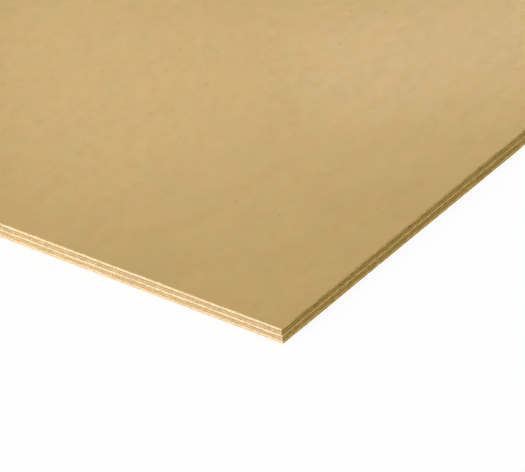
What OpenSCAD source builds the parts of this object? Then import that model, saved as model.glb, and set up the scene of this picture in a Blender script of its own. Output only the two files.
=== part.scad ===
// Plywood sheet: five veneers glued face to face and sawn square to one outline.
// The grain of each veneer crosses the grain of the next, and the lay-up is balanced
// about the core, so the sheet stays flat.
// The sheet lies on its back veneer: X runs along the face grain, Y across it and Z up.

/* [Sheet] */
// Length of the sheet, along the grain of the face veneer
sheet_length = 2440; // [300:5:3660]
// Width of the sheet, across the grain of the face veneer
sheet_width = 1220; // [300:5:1830]

/* [Veneers] */
// Thickness of the face veneer, with its film
face_thickness = 2; // [0.6:0.1:4]
// Thickness of each of the two crossbands
crossband_thickness = 3; // [0.6:0.1:5]
// Thickness of the core veneer
core_thickness = 2; // [0.6:0.1:5]
// Thickness of the back veneer, with its film
back_thickness = 2; // [0.6:0.1:4]

/* [Hidden] */

// Height of the underside of each veneer, counted up the lay-up from the floor
back_height = 0;
lower_crossband_height = back_height + back_thickness;
core_height = lower_crossband_height + crossband_thickness;
upper_crossband_height = core_height + core_thickness;
face_height = upper_crossband_height + crossband_thickness;

// Colours of the film, of the pale veneers and of the darker crossbands
film_colour = [0.76, 0.64, 0.42];
pale_wood_colour = [0.88, 0.76, 0.57];
crossband_colour = [0.70, 0.58, 0.37];

// Outline that the saw gives every veneer at once
module sawn_outline() {
    square([sheet_length, sheet_width], center = true);
}

// One veneer of the lay-up, with its underside at the given height
module veneer(height, thickness) {
    translate([0, 0, height])
        linear_extrude(height = thickness)
            sawn_outline();
}

module face_veneer() {
    color(film_colour) veneer(face_height, face_thickness);
}

module upper_crossband() {
    color(crossband_colour) veneer(upper_crossband_height, crossband_thickness);
}

module core_veneer() {
    color(pale_wood_colour) veneer(core_height, core_thickness);
}

module lower_crossband() {
    color(crossband_colour) veneer(lower_crossband_height, crossband_thickness);
}

module back_veneer() {
    color(film_colour) veneer(back_height, back_thickness);
}

face_veneer();
upper_crossband();
core_veneer();
lower_crossband();
back_veneer();
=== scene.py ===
"""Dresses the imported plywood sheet: sawn edges, film on both faces, studio light and the camera."""

import math

import bpy
import numpy as np
from mathutils import Matrix, Vector


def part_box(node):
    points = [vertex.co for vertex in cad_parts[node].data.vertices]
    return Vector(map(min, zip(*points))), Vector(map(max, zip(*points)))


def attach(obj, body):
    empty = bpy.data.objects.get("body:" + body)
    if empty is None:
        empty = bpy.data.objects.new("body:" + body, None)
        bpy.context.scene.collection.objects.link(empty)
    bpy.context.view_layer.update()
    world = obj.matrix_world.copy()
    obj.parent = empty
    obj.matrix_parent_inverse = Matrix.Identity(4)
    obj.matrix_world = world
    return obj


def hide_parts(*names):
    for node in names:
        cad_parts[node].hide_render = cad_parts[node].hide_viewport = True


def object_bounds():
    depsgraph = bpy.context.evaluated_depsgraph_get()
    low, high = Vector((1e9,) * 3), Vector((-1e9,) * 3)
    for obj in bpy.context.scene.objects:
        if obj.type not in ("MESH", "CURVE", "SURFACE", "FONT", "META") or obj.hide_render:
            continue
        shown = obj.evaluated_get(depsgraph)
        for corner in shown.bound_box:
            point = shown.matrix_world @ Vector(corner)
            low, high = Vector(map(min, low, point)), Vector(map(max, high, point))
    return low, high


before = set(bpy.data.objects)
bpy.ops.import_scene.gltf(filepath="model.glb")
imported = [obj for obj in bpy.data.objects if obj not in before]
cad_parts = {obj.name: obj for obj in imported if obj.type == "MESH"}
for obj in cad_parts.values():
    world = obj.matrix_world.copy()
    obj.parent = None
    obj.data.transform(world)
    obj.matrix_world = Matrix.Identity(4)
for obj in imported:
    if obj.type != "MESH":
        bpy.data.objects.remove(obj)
cad_low, cad_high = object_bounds()

# Lengths are in metres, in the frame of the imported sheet
MM = 0.001
SEED = 41
LENGTH = cad_high.x - cad_low.x
WIDTH = cad_high.y - cad_low.y

# The lay-up from the floor up: the crossbands have their grain across the sheet, the others along it
LAY_UP = ("back_veneer", "lower_crossband", "core_veneer", "upper_crossband", "face_veneer")
CROSSBANDS = ("lower_crossband", "upper_crossband")

# Steps of the mesh along a long side and along an end, and how often the faces halve them towards the middle
LONG_STEPS = 2048
SHORT_STEPS = 1024
SIDE_STEPS = (LONG_STEPS, SHORT_STEPS, LONG_STEPS, SHORT_STEPS)
HALVINGS = 6
FIRST_INSET = 2.5 * MM
COLUMNS = sum(SIDE_STEPS)
OUTLINE_LENGTH = 2 * (LENGTH + WIDTH)
COLUMN_STEP = OUTLINE_LENGTH / COLUMNS
SHARP_ANGLE = math.radians(35)

# Rows of a sawn edge: a thin dark line of glue on the pale veneers, and a wider stain on the crossbands
ROW_STEP = 0.45 * MM
GLUE_LINE = 0.14 * MM
GLUE_STAIN = 0.20 * MM
STAIN_SHARES = (0.95, 0.35)
GLUE_WAVE = 0.14 * MM
GLUE_WAVE_LENGTHS = (60 * MM, 14 * MM)
GLUE_GROOVE = 0.05 * MM
GLUE_GROOVE_SPREAD = 0.02 * MM

# How far the glue lines, from the floor up, lie above their nominal heights, and how dark they are
LINE_SHIFTS = (0.35 * MM, 0.15 * MM, 0.15 * MM, 0.0)
LINE_TONES = (0.6, 0.9, 1.0, 1.6)

# Painted contact shadow: how dark the lowest rings of the sawn edge are painted, from the floor up, as the
# shade where the sheet meets the floor
PAINTED_CONTACT_SHADOW = (1.0, 1.0, 1.0, 0.45)

# Relief that the saw and the fibres leave on the edges
NOISE_LIMIT = 2.0
FIBRE_RELIEF = 0.035 * MM
FIBRE_LENGTH = 9 * MM
END_GRAIN_RELIEF = 0.05 * MM
END_GRAIN_LENGTH = 0.9 * MM
SAW_RIPPLE = 0.02 * MM
SAW_PITCH = 3.1 * MM
SAW_LEAN = 0.35
UPPER_ARRIS = 0.10 * MM
LOWER_ARRIS = 0.20 * MM
ARRIS_SPREAD = 0.03 * MM
CHIPS = 240
CHIP_DEPTH = (0.08 * MM, 0.35 * MM)
CHIP_LENGTH = (1.5 * MM, 5 * MM)
PITS = 420
PIT_DEPTH = (0.15 * MM, 0.5 * MM)
PIT_COLUMNS = (1, 3)

# Groups of faces, and the places of their materials on each veneer
WALL, FACE, HIDDEN = "wall", "face", "hidden"
END_SLOT, SIDE_SLOT, FILM_SLOT = 0, 1, 2

# The map that the finish is baked on: strips of the edges below, the hidden faces above them, the film on top
BAKE_MAP = "OFBake"
STRIPS = 24
STRIP_LENGTH = OUTLINE_LENGTH / STRIPS
STRIP_SLACK = 0.3 * MM
STRIP_MARGIN = 0.12
MAP_MARGIN = 0.004
STRIPS_TOP_WITH_FILM = 0.46
STRIPS_TOP = 0.94
HIDDEN_HEIGHT = 0.03
HIDDEN_WIDTH = 0.48
FILM_BOTTOM = 0.505
FILM_HEIGHT = 0.49

# Colours of the woods, the glue and the film, in linear light
FILM_WARM = (0.456, 0.274, 0.064)
FILM_GREEN = (0.420, 0.286, 0.068)
FILM_SPECK = (0.10, 0.06, 0.02)
PALE_END = (0.800, 0.620, 0.370)
# Each long side's colour is a darker, more saturated copy of its end's colour: painted shade of the long
# sides, on top of the lamps' own
PALE_SIDE_PAINTED_SHADE = (0.685, 0.465, 0.158)
FACE_SIDE_PAINTED_SHADE = (0.620, 0.430, 0.141)
BACK_END = (0.820, 0.620, 0.365)
BACK_SIDE_PAINTED_SHADE = (0.815, 0.560, 0.185)
BAND_END = (0.600, 0.420, 0.207)
BAND_SIDE_PAINTED_SHADE = (0.482, 0.318, 0.076)
GLUE_END = (0.28, 0.175, 0.07)
# The back veneer's glue colour on the ends also paints the contact shadow along its foot
BACK_GLUE_AND_SHADOW_END = (0.56, 0.41, 0.23)
GLUE_SIDE_PAINTED_SHADE = (0.075, 0.040, 0.005)
WHITE = (1.0, 1.0, 1.0)
FULL_RANGE = (0.0, 1.0)

# Sawn wood: waves in a metre along X, Y and Z, tones from the darkest to the lightest, and its surface
FIBRE_WAVES_ACROSS = 1100.0
FIBRE_WAVES_ALONG = 150.0
FIBRES = {"detail": 3.0, "roughness": 0.6}
STREAKS = {"waves": (320.0, 540.0, 1500.0), "detail": 3.0, "roughness": 0.6}
CLOUDS = {"waves": (45.0, 45.0, 160.0), "detail": 2.0, "roughness": 0.5}
TORN = {"waves": (260.0, 260.0, 2400.0), "detail": 1.0, "roughness": 0.5}
STREAK_TONES = (0.20, 1.80)
FIBRE_TONES = (0.78, 1.22)
CLOUD_TONES = (0.88, 1.12)
TORN_RANGE = (0.60, 0.74)
TORN_SHARE = 0.55
PATCH_RANGE = (0.36, 0.62)
PATCH_SHARES = (0.95, 0.65)
WOOD_ROUGHNESS = 0.8
WOOD_GLOSS = 0.12
WOOD_BUMP = 0.25 * MM
WOOD_BUMP_STRENGTH = 0.5

# Resin film: bands of the veneer below, clouds, specks of dirt, nibs, orange peel and slow swells
BANDS = {"waves": (1.1, 9.0, 1.0), "detail": 2.0, "roughness": 0.5}
BAND_TONES = (0.95, 1.05)
MOTTLE = {"waves": (22.0, 30.0, 1.0), "detail": 6.0, "roughness": 0.8}
MOTTLE_TONES = (0.87, 1.13)
HUE = {"waves": (34.0, 50.0, 7.0), "detail": 5.0, "roughness": 0.7}
HUE_RANGE = (0.31, 0.69)
DIRT_CELL = 45 * MM
DIRT_RADIUS = 0.9 * MM
DIRT_CHANCE = 0.15
DIRT_EDGE = 0.7
DIRT_SHARE = 0.6
NIB_CELL = 12 * MM
NIB_RADIUS = 0.8 * MM
NIB_CHANCE = 0.12
NIB_HEIGHT = 0.10 * MM
PEEL = {"waves": (150.0, 230.0, 50.0), "detail": 4.0, "roughness": 0.7}
PEEL_HEIGHT = 0.06 * MM
SWELL = {"waves": (14.0, 26.0, 9.0), "detail": 2.0, "roughness": 0.5}
SWELL_HEIGHT = 0.20 * MM
FILM_ROUGHNESS = (0.17, 0.22)
SHEEN = {"waves": (85.0, 130.0, 8.0), "detail": 5.0, "roughness": 0.95}
FILM_GLOSS = (0.0, 1.0)

# The view: turn and tilt as for the other views, roll about the line of sight, and where the near corner lies
VIEW_AZIMUTH = math.radians(-46.6106)
VIEW_ELEVATION = math.radians(34.5576)
VIEW_ROLL = math.radians(-7.9715)
VIEW_DISTANCE = 5.2572
VIEW_LENS_MM = 548.0
SENSOR_MM = 36.0
AIM_RIGHT = -13.7 * MM
AIM_UP = 71.0 * MM

# The studio
WORLD_LIGHT = 0.5
FLOOR_SIZE = 400.0
FLOOR_DROP = 0.3 * MM
FLOOR_COLOUR = (0.85, 0.85, 0.85)
FLOOR_ROUGHNESS = 1.0
FLOOR_GLOSS = 0.0
FLOOR_WHITE = 0.93
FULL_SPREAD = math.radians(180)
PANEL_SPREAD = math.radians(70)
KEY_WAY = (-0.86, 0.22, 0.46)
KEY_DISTANCE = 4.0
KEY_SIZE = (1.6, 1.6)
KEY_RADIANCE = 14.0
TOP_HEIGHT = 3.2
TOP_SIZE = (2.4, 2.4)
TOP_RADIANCE = 1.55

# Panels by where the camera sees them mirrored in the film, ahead of and aside from the near corner
PANELS = {
    "right_panel": {
        "reach": 0.90, "ahead": 0.345, "aside": 0.195, "size": (0.300, 0.090),
        "turn": math.radians(5.6), "radiance": 4.2, "colour": (1.0, 0.80, 0.60),
    },
    "left_panel": {
        "reach": 1.10, "ahead": 0.360, "aside": -0.090, "size": (0.270, 0.195),
        "turn": math.radians(-11.0), "radiance": 2.55, "colour": (1.0, 0.74, 0.49),
    },
}


def rectangle(inset, long_steps, short_steps):
    """Points round the outline, or a smaller one inside it, counter-clockwise from the front left."""
    left, right = cad_low.x + inset, cad_high.x - inset
    front, rear = cad_low.y + inset, cad_high.y - inset
    corners = np.array([(left, front), (right, front), (right, rear), (left, rear)])
    sides = []
    for start, end, steps in zip(corners, np.roll(corners, -1, axis=0), (long_steps, short_steps) * 2):
        share = np.arange(steps)[:, None] / steps
        sides.append(start * (1 - share) + end * share)
    return np.concatenate(sides)


def inward_directions():
    """The way into the sheet at each point of the outline, which at a corner is into both of its sides."""
    ways = np.array([(0, 1), (-1, 0), (0, -1), (1, 0)], float)
    inward = np.repeat(ways, SIDE_STEPS, axis=0)
    for side in range(len(SIDE_STEPS)):
        inward[sum(SIDE_STEPS[:side])] += ways[side - 1]
    return inward


OUTLINE = rectangle(0, LONG_STEPS, SHORT_STEPS)
INWARD = inward_directions()
ON_END = np.repeat((False, True, False, True), SIDE_STEPS)
TRAVEL = np.arange(COLUMNS) * COLUMN_STEP


def drift(rng, length):
    """Noise round the outline with unit spread, smoothed over the given length and kept within limits."""
    spectrum = np.fft.rfft(rng.standard_normal(COLUMNS))
    waves = np.fft.rfftfreq(COLUMNS, COLUMN_STEP)
    softened = np.fft.irfft(spectrum * np.exp(-0.5 * (math.pi * waves * length) ** 2), COLUMNS)
    return np.clip(softened / softened.std(), -NOISE_LIMIT, NOISE_LIMIT)


def glue_line(rng, height, tone):
    """Height, depth and darkness of a wavy line between two veneers, all round the sheet."""
    wave = sum(drift(rng, length) for length in GLUE_WAVE_LENGTHS) / len(GLUE_WAVE_LENGTHS)
    groove = GLUE_GROOVE + GLUE_GROOVE_SPREAD * drift(rng, FIBRE_LENGTH)
    return height + GLUE_WAVE * wave, groove, tone


def chipped_arris(rng, size):
    """Size of the worn corner between a face and its edges, with chips that the saw tore out of it."""
    worn = size + ARRIS_SPREAD * drift(rng, FIBRE_LENGTH)
    half_way = OUTLINE_LENGTH / 2
    for _ in range(CHIPS):
        away = (TRAVEL - rng.uniform(0, OUTLINE_LENGTH) + half_way) % OUTLINE_LENGTH - half_way
        share = away / (rng.uniform(*CHIP_LENGTH) / 2)
        worn = worn + rng.uniform(*CHIP_DEPTH) * np.clip(1 - share ** 2, 0, None)
    return worn


def sawn_depth(rng, height, grain_across):
    """How far the saw and the fibres leave a row of a veneer's edge behind the outline."""
    end_grain = ON_END != grain_across
    fibres = FIBRE_RELIEF * np.abs(drift(rng, FIBRE_LENGTH))
    pores = END_GRAIN_RELIEF * np.abs(drift(rng, END_GRAIN_LENGTH))
    ripple = SAW_RIPPLE * (1 + np.sin(math.tau * (TRAVEL + SAW_LEAN * height) / SAW_PITCH))
    return ripple + np.where(end_grain, pores, fibres)


def add_pits(rng, depths):
    """Presses small pits, where fibres tore out, into the middle rows of a veneer's edge."""
    for _ in range(PITS):
        row = rng.integers(1, len(depths) - 1)
        start = rng.integers(0, COLUMNS)
        columns = (start + np.arange(rng.integers(*PIT_COLUMNS, endpoint=True))) % COLUMNS
        depths[row, columns] += rng.uniform(*PIT_DEPTH)


def row_shares(thickness, margins):
    """Heights of the rows across a veneer's edge as shares of it, with narrow rows at the glue lines."""
    lower = np.concatenate([[0], np.cumsum(margins)])
    inner = thickness - 2 * lower[-1]
    count = round(inner / ROW_STEP)
    middle = lower[-1] + inner * np.arange(1, count) / count
    return np.concatenate([lower, middle, (thickness - lower)[::-1]]) / thickness


class Shell:
    """Collects the points, faces and face groups of one closed veneer."""

    def __init__(self):
        self.points = np.zeros((0, 3))
        self.faces = []
        self.groups = []

    def ring(self, plan, height):
        """Adds points and returns their numbers."""
        start = len(self.points)
        added = np.column_stack([plan, np.broadcast_to(height, len(plan))])
        self.points = np.concatenate([self.points, added])
        return np.arange(start, len(self.points))

    def add(self, faces, group):
        """Adds faces, given as rows of point numbers."""
        self.faces.extend(faces.tolist())
        self.groups.extend([group] * len(faces))

    def wall(self, lower, upper):
        """Joins two rings of the sawn edge with quads that face outwards."""
        self.add(np.column_stack([lower, np.roll(lower, -1), np.roll(upper, -1), upper]), WALL)

    def cap(self, rim, height, upwards, group):
        """Closes the veneer with a flat face whose steps grow from the rim to the middle."""
        order = slice(None) if upwards else slice(None, None, -1)
        inset = FIRST_INSET
        outer = rim
        long_steps, short_steps = LONG_STEPS, SHORT_STEPS
        for _ in range(HALVINGS):
            long_steps //= 2
            short_steps //= 2
            inner = self.ring(rectangle(inset, long_steps, short_steps), height)
            first, middle, last = outer[0::2], outer[1::2], np.roll(outer[0::2], -1)
            ahead = np.roll(inner, -1)
            for triangle in ((first, middle, inner), (middle, ahead, inner), (middle, last, ahead)):
                self.add(np.column_stack(triangle)[:, order], group)
            inset += FIRST_INSET * LONG_STEPS / long_steps
            outer = inner
        self.add(self.grid(outer, long_steps, short_steps, height)[:, order], group)

    def grid(self, rim, long_steps, short_steps, height):
        """Quads that fill the innermost ring, with new points inside it."""
        right = long_steps + short_steps
        rear = right + long_steps
        numbers = np.zeros((short_steps + 1, long_steps + 1), int)
        numbers[0, :] = rim[: long_steps + 1]
        numbers[:, -1] = rim[long_steps : right + 1]
        numbers[-1, :] = rim[right : rear + 1][::-1]
        numbers[:, 0] = np.append(rim[rear:], rim[0])[::-1]
        across = self.points[numbers[0, 1:-1], 0]
        along = self.points[numbers[1:-1, 0], 1]
        plan = np.stack(np.meshgrid(across, along), -1).reshape(-1, 2)
        numbers[1:-1, 1:-1] = self.ring(plan, height).reshape(short_steps - 1, long_steps - 1)
        corners = numbers[:-1, :-1], numbers[:-1, 1:], numbers[1:, 1:], numbers[1:, :-1]
        return np.column_stack([corner.ravel() for corner in corners])


def build_veneer(name, lower_line, upper_line, materials):
    """One closed veneer between two glue lines, or between a glue line and a worn arris."""
    rng = np.random.default_rng([SEED, LAY_UP.index(name)])
    low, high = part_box(name)
    thickness = high.z - low.z
    crossed = name in CROSSBANDS
    shares = row_shares(thickness, (GLUE_LINE, GLUE_STAIN) if crossed else (GLUE_LINE,))
    depths = np.array([sawn_depth(rng, share * thickness, crossed) for share in shares])
    add_pits(rng, depths)
    lower_arris = 0 if lower_line else chipped_arris(rng, LOWER_ARRIS)
    upper_arris = 0 if upper_line else chipped_arris(rng, UPPER_ARRIS)
    lower_height, depths[0], lower_glue = lower_line or (low.z + lower_arris, depths[0], 0)
    upper_height, depths[-1], upper_glue = upper_line or (high.z - upper_arris, depths[-1], 0)

    shell = Shell()
    rings = []
    for share, depth in zip(shares, depths):
        height = lower_height * (1 - share) + upper_height * share
        rings.append(shell.ring(OUTLINE + INWARD * depth[:, None], height))
    glue_rings = [(rings[0], lower_glue), (rings[-1], upper_glue)]
    for row, share in enumerate(STAIN_SHARES if crossed else (), start=1):
        glue_rings.append((rings[row], share * lower_glue))
        glue_rings.append((rings[-1 - row], share * upper_glue))
    if not lower_line:
        rings.insert(0, shell.ring(OUTLINE + INWARD * (depths[0] + lower_arris)[:, None], low.z))
    if not upper_line:
        rings.append(shell.ring(OUTLINE + INWARD * (depths[-1] + upper_arris)[:, None], high.z))
    for lower, upper in zip(rings, rings[1:]):
        shell.wall(lower, upper)
    shell.cap(rings[0], low.z, False, HIDDEN if lower_line else FACE)
    shell.cap(rings[-1], high.z, True, HIDDEN if upper_line else FACE)

    # One attribute carries the glue lines and the painted contact shadow on the lowest rings of the back
    # veneer
    glue_and_shadow = np.zeros(len(shell.points), np.float32)
    for ring, tone in glue_rings + list(zip(rings, () if lower_line else PAINTED_CONTACT_SHADOW)):
        glue_and_shadow[ring] = tone
    return make_object(name, shell, glue_and_shadow, materials)


def make_object(name, shell, glue_and_shadow, materials):
    """Turns a shell into an object whose ends, sides and faces have their own materials."""
    mesh = bpy.data.meshes.new(name + "_sawn")
    mesh.from_pydata(shell.points.tolist(), [], shell.faces)
    for material in materials:
        mesh.materials.append(material)
    normals = np.empty(3 * len(mesh.polygons), np.float32)
    mesh.polygons.foreach_get("normal", normals)
    normals = normals.reshape(-1, 3)
    groups = np.array(shell.groups)
    on_end = np.abs(normals[:, 0]) > np.abs(normals[:, 1])
    slots = np.where(groups == FACE, FILM_SLOT, np.where(on_end & (groups == WALL), END_SLOT, SIDE_SLOT))
    mesh.polygons.foreach_set("material_index", slots.astype(np.int32))
    mesh.polygons.foreach_set("use_smooth", np.ones(len(groups), bool))
    mesh.set_sharp_from_angle(angle=SHARP_ANGLE)
    mesh.attributes.new("glue_and_shadow", "FLOAT", "POINT").data.foreach_set("value", glue_and_shadow)
    add_bake_map(mesh, shell.points, groups, normals)
    mesh.update()
    veneer = bpy.data.objects.new(name + "_sawn", mesh)
    bpy.context.scene.collection.objects.link(veneer)
    return veneer


def add_bake_map(mesh, points, groups, normals):
    """Lays the edges out in strips and the faces as rectangles, so that a bake shows the thin edges."""
    numbers = np.empty(len(mesh.loops), np.int32)
    mesh.loops.foreach_get("vertex_index", numbers)
    sizes = np.empty(len(mesh.polygons), np.int32)
    mesh.polygons.foreach_get("loop_total", sizes)
    face = np.repeat(np.arange(len(sizes)), sizes)
    corner = points[numbers]
    across = (corner[:, 0] - cad_low.x) / LENGTH
    along = (corner[:, 1] - cad_low.y) / WIDTH
    top = STRIPS_TOP_WITH_FILM if FACE in groups else STRIPS_TOP

    ways = normals[face]
    on_end = np.abs(ways[:, 0]) > np.abs(ways[:, 1])
    forth = np.where(on_end, ways[:, 0] > 0, ways[:, 1] < 0)
    side_travel = np.where(forth, across, 1 - across) * LENGTH + np.where(forth, 0, LENGTH + WIDTH)
    end_travel = np.where(forth, along, 1 - along) * WIDTH + np.where(forth, LENGTH, 2 * LENGTH + WIDTH)
    travel = np.where(on_end, end_travel, side_travel)
    middle = np.add.reduceat(travel, np.cumsum(sizes) - sizes) / sizes
    strip = np.floor(middle / STRIP_LENGTH)[face]
    share = np.clip(travel / STRIP_LENGTH - strip, 0, 1)
    low, high = points[:, 2].min() - STRIP_SLACK, points[:, 2].max() + STRIP_SLACK
    rise = STRIP_MARGIN + (1 - 2 * STRIP_MARGIN) * (corner[:, 2] - low) / (high - low)

    inside = 1 - 2 * MAP_MARGIN
    hidden_start = np.where(ways[:, 2] < 0, MAP_MARGIN, 1 - HIDDEN_WIDTH - MAP_MARGIN)
    group = groups[face]
    u = np.where(group == HIDDEN, hidden_start + HIDDEN_WIDTH * across, MAP_MARGIN + inside * across)
    v = np.where(group == HIDDEN, top + MAP_MARGIN + HIDDEN_HEIGHT * along, FILM_BOTTOM + FILM_HEIGHT * along)
    u = np.where(group == WALL, MAP_MARGIN + inside * share, u)
    v = np.where(group == WALL, (strip + rise) * top / STRIPS, v)
    layer = mesh.uv_layers.new(name=BAKE_MAP)
    layer.data.foreach_set("uv", np.column_stack([u, v]).ravel().astype(np.float32))


def add_node(tree, kind, inputs=None, **settings):
    """Adds a shader node, with its settings, and its inputs as values or as other nodes' outputs."""
    node = tree.nodes.new(kind)
    for name, value in settings.items():
        setattr(node, name, value)
    for name, value in (inputs or {}).items():
        set_input(tree, node.inputs[name], value)
    return node


def set_input(tree, socket, value):
    """Gives an input a value or another node's output."""
    if isinstance(value, bpy.types.NodeSocket):
        tree.links.new(value, socket)
    else:
        socket.default_value = value


def new_material(name):
    """A material with its node tree, its shader and its coordinates in metres."""
    material = bpy.data.materials.new(name)
    material.use_nodes = True
    tree = material.node_tree
    place = add_node(tree, "ShaderNodeTexCoord").outputs["Object"]
    return material, tree, tree.nodes["Principled BSDF"], place


def noise(tree, place, waves, detail, roughness):
    """Fractal noise from 0 to 1, with the given waves in a metre along each axis."""
    scaled = add_node(tree, "ShaderNodeMapping", {"Vector": place, "Scale": waves}).outputs[0]
    inputs = {"Vector": scaled, "Scale": 1.0, "Detail": detail, "Roughness": roughness}
    return add_node(tree, "ShaderNodeTexNoise", inputs).outputs["Fac"]


def spread(tree, value, goal, start=FULL_RANGE):
    """Maps a value from one range to another, clamped."""
    inputs = {
        "Value": value,
        "From Min": start[0],
        "From Max": start[1],
        "To Min": goal[0],
        "To Max": goal[1],
    }
    return add_node(tree, "ShaderNodeMapRange", inputs).outputs[0]


def calculate(tree, operation, first, second):
    """One step of arithmetic on two values."""
    return add_node(tree, "ShaderNodeMath", {0: first, 1: second}, operation=operation).outputs[0]


def rgb(colour):
    """A linear colour with full alpha."""
    return (*colour, 1.0)


def blend(tree, share, first, second, kind="MIX"):
    """Mixes two colours."""
    node = add_node(tree, "ShaderNodeMix", data_type="RGBA", blend_type=kind)
    colours = [socket for socket in node.inputs if socket.type == "RGBA"]
    for socket, value in zip([node.inputs[0]] + colours, (share, first, second)):
        set_input(tree, socket, value)
    return next(socket for socket in node.outputs if socket.type == "RGBA")


def brighten(tree, colour, tones, share):
    """Multiplies a colour by a grey between two tones."""
    dark, light = (rgb((tone,) * 3) for tone in tones)
    return blend(tree, 1.0, colour, blend(tree, share, dark, light), "MULTIPLY")


def wood_material(name, colour, glue_and_shadow_colour, grain_across):
    """Sawn wood with fibres along its grain, torn flecks, dark glue at the lines, and painted contact shadow
    at the foot of the back veneer.
    """
    material, tree, shader, place = new_material(name)
    fibre_waves = [FIBRE_WAVES_ALONG, FIBRE_WAVES_ACROSS, FIBRE_WAVES_ACROSS]
    if grain_across:
        fibre_waves = [FIBRE_WAVES_ACROSS, FIBRE_WAVES_ALONG, FIBRE_WAVES_ACROSS]
    streaks = noise(tree, place, **STREAKS)
    tone = brighten(tree, rgb(colour), STREAK_TONES, streaks)
    tone = brighten(tree, tone, FIBRE_TONES, noise(tree, place, fibre_waves, **FIBRES))
    tone = brighten(tree, tone, CLOUD_TONES, noise(tree, place, **CLOUDS))
    torn = spread(tree, noise(tree, place, **TORN), (0.0, TORN_SHARE), TORN_RANGE)
    tone = blend(tree, torn, tone, rgb(glue_and_shadow_colour))
    glue_and_shadow = add_node(tree, "ShaderNodeAttribute", attribute_name="glue_and_shadow").outputs["Fac"]
    patches = spread(tree, streaks, PATCH_SHARES, PATCH_RANGE)
    tone = blend(tree, calculate(tree, "MULTIPLY", glue_and_shadow, patches), tone, rgb(glue_and_shadow_colour))
    inputs = {"Height": streaks, "Strength": WOOD_BUMP_STRENGTH, "Distance": WOOD_BUMP}
    bump = add_node(tree, "ShaderNodeBump", inputs)
    tree.links.new(tone, shader.inputs["Base Color"])
    tree.links.new(bump.outputs[0], shader.inputs["Normal"])
    shader.inputs["Roughness"].default_value = WOOD_ROUGHNESS
    shader.inputs["Specular IOR Level"].default_value = WOOD_GLOSS
    return material


def edge_materials(name, end_colour, side_colour_painted_shade, grain_across, end_glue_and_shadow=GLUE_END):
    """The sawn wood of a veneer on the ends and on the long sides of the sheet; the long sides take darker,
    more saturated copies of its colours as painted shade.
    """
    return [
        wood_material(name + "_end", end_colour, end_glue_and_shadow, grain_across),
        wood_material(name + "_side_painted_shade", side_colour_painted_shade, GLUE_SIDE_PAINTED_SHADE, grain_across),
    ]


def spots(tree, place, cell, radius, chance):
    """Round spots that fade from 1 in their middles; each cell of the given size has one or none."""
    inputs = {"Vector": place, "Scale": 1 / cell}
    field = add_node(tree, "ShaderNodeTexVoronoi", inputs, voronoi_dimensions="2D")
    near = spread(tree, field.outputs["Distance"], (1.0, 0.0), (0.0, radius / cell))
    pick = add_node(tree, "ShaderNodeSeparateColor", {0: field.outputs["Color"]}).outputs[0]
    return calculate(tree, "MULTIPLY", near, calculate(tree, "LESS_THAN", pick, chance))


def film_relief(tree, place):
    """Slow swells of the veneer below, an orange peel and small nibs, one bump on another."""
    swell = noise(tree, place, **SWELL)
    peel = noise(tree, place, **PEEL)
    nibs = spots(tree, place, NIB_CELL, NIB_RADIUS, NIB_CHANCE)
    bump = add_node(tree, "ShaderNodeBump", {"Height": swell, "Distance": SWELL_HEIGHT})
    for height, distance in ((peel, PEEL_HEIGHT), (nibs, NIB_HEIGHT)):
        inputs = {"Height": height, "Distance": distance, "Normal": bump.outputs[0]}
        bump = add_node(tree, "ShaderNodeBump", inputs)
    return bump.outputs[0]


def film_material():
    """Satin resin film: bands of the veneer below, clouds of tone, hue and gloss, specks and relief."""
    material, tree, shader, place = new_material("resin_film")
    mottle = noise(tree, place, **MOTTLE)
    hue = spread(tree, noise(tree, place, **HUE), FULL_RANGE, HUE_RANGE)
    tone = blend(tree, hue, rgb(FILM_WARM), rgb(FILM_GREEN))
    tone = brighten(tree, tone, BAND_TONES, noise(tree, place, **BANDS))
    tone = brighten(tree, tone, MOTTLE_TONES, mottle)
    dirt = spots(tree, place, DIRT_CELL, DIRT_RADIUS, DIRT_CHANCE)
    tone = blend(tree, spread(tree, dirt, (0.0, DIRT_SHARE), (0.0, DIRT_EDGE)), tone, rgb(FILM_SPECK))
    tree.links.new(tone, shader.inputs["Base Color"])
    tree.links.new(spread(tree, mottle, FILM_ROUGHNESS), shader.inputs["Roughness"])
    tree.links.new(film_relief(tree, place), shader.inputs["Normal"])
    gloss = spread(tree, noise(tree, place, **SHEEN), FILM_GLOSS)
    tree.links.new(gloss, shader.inputs["Specular IOR Level"])
    return material


def build_sheet():
    """Builds the five veneers from the floor up, with one shared glue line between each two."""
    film = film_material()
    back = edge_materials("back_wood", BACK_END, BACK_SIDE_PAINTED_SHADE, False, BACK_GLUE_AND_SHADOW_END)
    pale = edge_materials("pale_wood", PALE_END, PALE_SIDE_PAINTED_SHADE, False)
    face = edge_materials("face_wood", PALE_END, FACE_SIDE_PAINTED_SHADE, False)
    band = edge_materials("crossband_wood", BAND_END, BAND_SIDE_PAINTED_SHADE, True)
    woods = dict(zip(LAY_UP, (back, band, pale, band, face)))
    rng = np.random.default_rng(SEED)
    heights = [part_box(name)[1].z + shift for name, shift in zip(LAY_UP, LINE_SHIFTS)]
    lines = [glue_line(rng, height, tone) for height, tone in zip(heights, LINE_TONES)]
    for name, lower_line, upper_line in zip(LAY_UP, [None] + lines, lines + [None]):
        veneer = build_veneer(name, lower_line, upper_line, woods[name] + [film])
        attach(veneer, "root")
        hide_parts(name)


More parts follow.
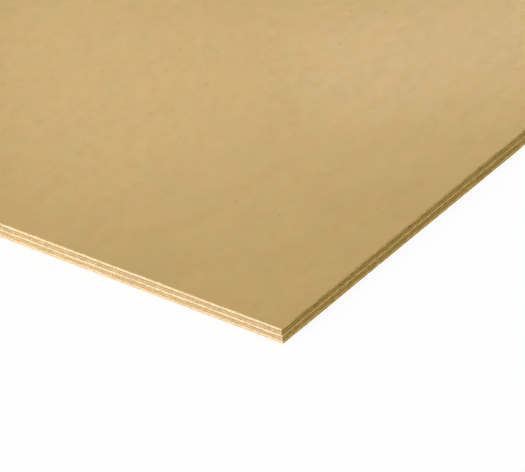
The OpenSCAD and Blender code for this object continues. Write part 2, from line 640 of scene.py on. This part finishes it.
def add_camera():
    """A long lens that looks down on the sheet's near corner."""
    data = bpy.data.cameras.new("camera")
    data.lens = VIEW_LENS_MM
    data.sensor_width = SENSOR_MM
    turn = Matrix.Rotation(VIEW_AZIMUTH, 4, "Z")
    tilt = Matrix.Rotation(math.pi / 2 - VIEW_ELEVATION, 4, "X")
    roll = Matrix.Rotation(VIEW_ROLL, 4, "Z")
    corner = Matrix.Translation((cad_low.x, cad_low.y, cad_low.z))
    offset = Matrix.Translation((AIM_RIGHT, AIM_UP, VIEW_DISTANCE))
    camera = bpy.data.objects.new("camera", data)
    camera.matrix_world = corner @ turn @ tilt @ roll @ offset
    bpy.context.scene.collection.objects.link(camera)
    bpy.context.scene.camera = camera


def seen_directly(tree):
    """1 for rays from the camera or sent on by gloss or glass, and 0 for the light that falls on things."""
    path = add_node(tree, "ShaderNodeLightPath").outputs
    camera_or_gloss = calculate(tree, "MAXIMUM", path["Is Camera Ray"], path["Is Glossy Ray"])
    return calculate(tree, "MAXIMUM", camera_or_gloss, path["Is Transmission Ray"])


def add_world():
    """Even white surroundings that light the sheet softly."""
    world = bpy.data.worlds.new("studio")
    world.use_nodes = True
    tree = world.node_tree
    background = tree.nodes["Background"]
    background.inputs["Color"].default_value = rgb(WHITE)
    strength = spread(tree, seen_directly(tree), (WORLD_LIGHT, 1.0))
    tree.links.new(strength, background.inputs["Strength"])
    bpy.context.scene.world = world


def floor_material():
    """A pale dull floor that the camera sees almost white, with the sheet's shadow left in it."""
    material = bpy.data.materials.new("pale_floor")
    material.use_nodes = True
    tree = material.node_tree
    shader = tree.nodes["Principled BSDF"]
    shader.inputs["Base Color"].default_value = rgb(FLOOR_COLOUR)
    shader.inputs["Roughness"].default_value = FLOOR_ROUGHNESS
    shader.inputs["Specular IOR Level"].default_value = FLOOR_GLOSS
    white = add_node(tree, "ShaderNodeEmission", {"Color": rgb(WHITE), "Strength": 1.0})
    share = spread(tree, seen_directly(tree), (0.0, FLOOR_WHITE))
    mixed = add_node(tree, "ShaderNodeMixShader", {0: share, 1: shader.outputs[0], 2: white.outputs[0]})
    tree.links.new(mixed.outputs[0], tree.nodes["Material Output"].inputs["Surface"])
    return material


def add_floor():
    """A large flat floor just below the sheet."""
    half = FLOOR_SIZE / 2
    level = cad_low.z - FLOOR_DROP
    corners = [(-half, -half, level), (half, -half, level), (half, half, level), (-half, half, level)]
    mesh = bpy.data.meshes.new("floor")
    mesh.from_pydata(corners, [], [(0, 1, 2, 3)])
    mesh.materials.append(floor_material())
    floor = bpy.data.objects.new("floor", mesh)
    bpy.context.scene.collection.objects.link(floor)


def add_softbox(name, place, target, size, radiance, colour=WHITE, turn=0.0, fan=FULL_SPREAD):
    """An unseen rectangular lamp of a given brightness that faces a point; a grid narrows its fan."""
    data = bpy.data.lights.new(name, "AREA")
    data.shape = "RECTANGLE"
    data.size, data.size_y = size
    data.color = colour
    data.spread = fan
    slope = math.tan(fan / 2)
    grid_gain = slope / (slope - fan / 2)
    data.energy = radiance * math.pi * size[0] * size[1] / grid_gain
    lamp = bpy.data.objects.new(name, data)
    facing = (target - place).to_track_quat("-Z", "Y").to_matrix().to_4x4()
    lamp.matrix_world = Matrix.Translation(place) @ facing @ Matrix.Rotation(turn, 4, "Z")
    lamp.visible_camera = False
    bpy.context.scene.collection.objects.link(lamp)


def add_lamps():
    """A soft key at the left, a large light above, and panels that the film mirrors as its sheen."""
    corner = Vector((cad_low.x, cad_low.y, cad_high.z))
    add_softbox("key", corner + KEY_DISTANCE * Vector(KEY_WAY), corner, KEY_SIZE, KEY_RADIANCE)
    add_softbox("top", Vector((0, 0, TOP_HEIGHT)), Vector((0, 0, 0)), TOP_SIZE, TOP_RADIANCE)
    ahead = Vector((-math.sin(VIEW_AZIMUTH), math.cos(VIEW_AZIMUTH), 0))
    aside = Vector((math.cos(VIEW_AZIMUTH), math.sin(VIEW_AZIMUTH), 0))
    mirrored = ahead * math.cos(VIEW_ELEVATION) + Vector((0, 0, math.sin(VIEW_ELEVATION)))
    for name, panel in PANELS.items():
        aim = corner + panel["ahead"] * ahead + panel["aside"] * aside
        place = aim + panel["reach"] * mirrored
        finish = panel["radiance"], panel["colour"], panel["turn"]
        add_softbox(name, place, aim, panel["size"], *finish, fan=PANEL_SPREAD)


build_sheet()
add_camera()
add_world()
add_floor()
add_lamps()
bpy.context.scene.view_settings.view_transform = "Standard"
